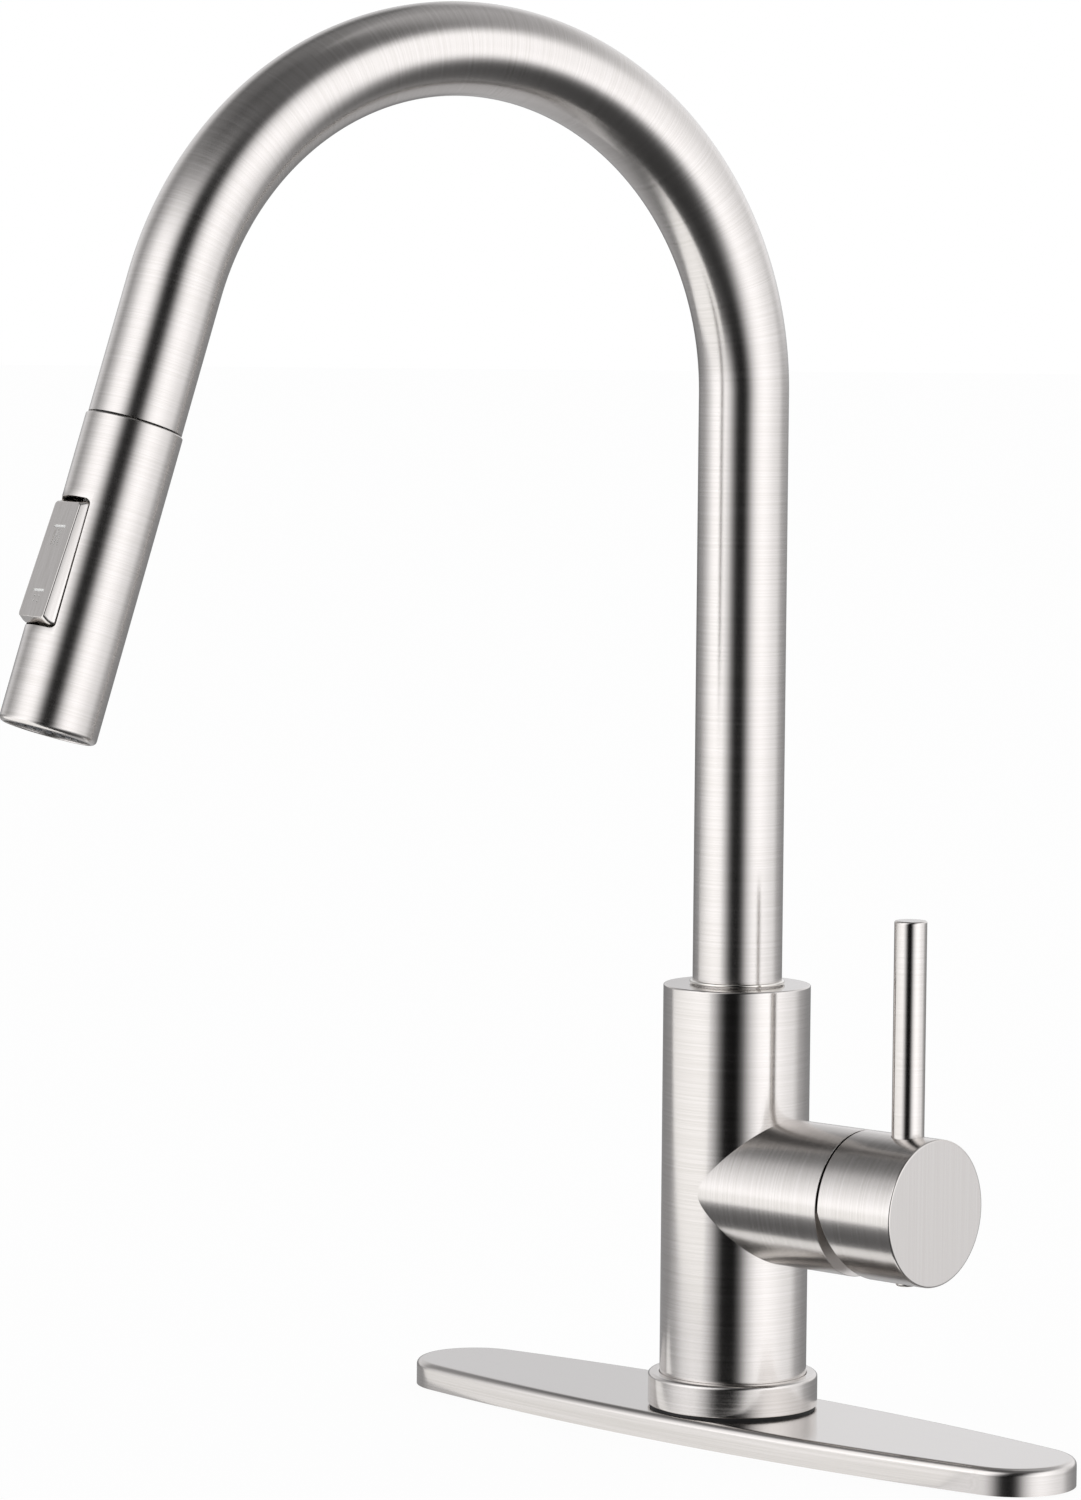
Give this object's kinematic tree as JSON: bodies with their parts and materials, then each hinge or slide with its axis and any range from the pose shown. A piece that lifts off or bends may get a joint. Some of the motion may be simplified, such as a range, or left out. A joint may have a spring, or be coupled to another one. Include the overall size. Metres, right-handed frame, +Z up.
{
  "type": "pull down kitchen faucet",
  "caption": "High-arc single-lever kitchen faucet with a swivelling spout, a pull-down spray head with a rocker button, a side valve handle, an oval deck plate and deck clamp.",
  "frame": {"origin": "on the column's axis at the worktop level, which is the deck plate's underside", "axes": "+Z up the column; the deck plate lies along X; the valve branch and handle point along +X; the spout reaches towards -Y, swung 15.2 degrees towards -X at rest"},
  "size_m": [0.2512, 0.2651, 0.491],
  "materials": {
    "brushed_nickel": "brushed nickel plate, fine lines round the turned parts",
    "polished_nickel": "polished nickel plate",
    "black_rubber": "moulded rubber",
    "white_nylon": "moulded nylon",
    "grey_plastic": "moulded acetal",
    "button_plastic": "moulding plated in satin nickel, to match the spray head",
    "grey_silicone": "moulded silicone",
    "brass": "machined brass",
    "copper": "drawn copper tube",
    "steel": "bright steel",
    "white_ceramic": "lapped alumina ceramic",
    "magnet": "nickel-plated ring magnet",
    "braided_nylon": "braided nylon over a rubber hose"
  },
  "bodies": {
    "root": {"deck_plate": "brushed_nickel", "plate_base": "white_nylon", "plate_gasket": "black_rubber", "body_gasket": "black_rubber", "base_ring": "brushed_nickel", "faucet_body": "brushed_nickel", "swivel_bushes": "white_nylon", "swivel_seal": "black_rubber", "shank": "brass", "rubber_washer": "black_rubber", "steel_washer": "steel", "mounting_nut": "brass", "jack_screws": "steel", "shank_guard": "white_nylon", "inlet_block": "brass", "riser_tubes": "copper", "manifold": "brass", "port_seals": "black_rubber", "valve_branch": "brushed_nickel", "cartridge_housing": "white_nylon", "fixed_disc": "white_ceramic", "cartridge_nut": "brass", "bonnet_dome": "polished_nickel"},
    "spout": {"spout_tube": "brushed_nickel", "spout_collar": "polished_nickel", "retaining_clip": "steel", "docking_collar": "white_nylon", "dock_magnet": "magnet", "pull_down_hose": "braided_nylon"},
    "spray_head": {"head_shell": "brushed_nickel", "dock_ring": "steel", "dock_insert": "white_nylon", "hose_connector": "steel", "filter_washer": "black_rubber", "check_valve": "white_nylon", "diverter_housing": "white_nylon", "button_pin": "steel", "spray_body": "white_nylon", "aerator": "grey_plastic", "nozzle_mat": "grey_silicone", "spray_face": "grey_plastic"},
    "button": {"rocker_button": "button_plastic"},
    "spool": {"diverter_spool": "white_nylon", "spool_seals": "black_rubber"},
    "rotor": {"valve_rotor": "white_nylon", "stem_pin": "steel"},
    "disc": {"moving_disc": "white_ceramic"},
    "handle": {"stem": "brass", "handle_hub": "brushed_nickel", "lever_rod": "brushed_nickel", "set_screw": "steel", "screw_cap": "polished_nickel"}
  },
  "joints": [
    {"name": "spout_swivel", "type": "hinge", "parent": "root", "child": "spout", "pos_m": [0, 0, 0.12], "axis": [0, 0, 1], "continuous": true},
    {"name": "head_pull", "type": "slide", "parent": "spout", "child": "spray_head", "axis": [-0.0797, -0.2934, -0.9527], "range_m": [0, 0.2], "deforming": ["pull_down_hose"]},
    {"name": "button_rock", "type": "hinge", "parent": "spray_head", "child": "button", "pos_m": [-0.05998, -0.22075, 0.2671], "axis": [0.965, -0.2622, 0], "range_deg": [0, 5.4]},
    {"name": "spool_slide", "type": "slide", "parent": "spray_head", "child": "spool", "axis": [-0.0797, -0.2934, -0.9527], "range_m": [0, 0.0019]},
    {"name": "temperature_turn", "type": "hinge", "parent": "root", "child": "rotor", "pos_m": [0.0395, 0, 0.0756], "axis": [1, 0, 0], "range_deg": [-45, 45]},
    {"name": "lever_tilt", "type": "hinge", "parent": "rotor", "child": "handle", "pos_m": [0.0395, 0, 0.0756], "axis": [0, 1, 0], "range_deg": [0, 16]},
    {"name": "disc_slide", "type": "slide", "parent": "rotor", "child": "disc", "axis": [0, 0, 1], "range_m": [0, 0.0023]}
  ],
  "couplings": [
    {"joint": "spool_slide", "follows": "button_rock", "m_per_rad": 0.02},
    {"joint": "disc_slide", "follows": "lever_tilt", "m_per_rad": 0.008}
  ]
}
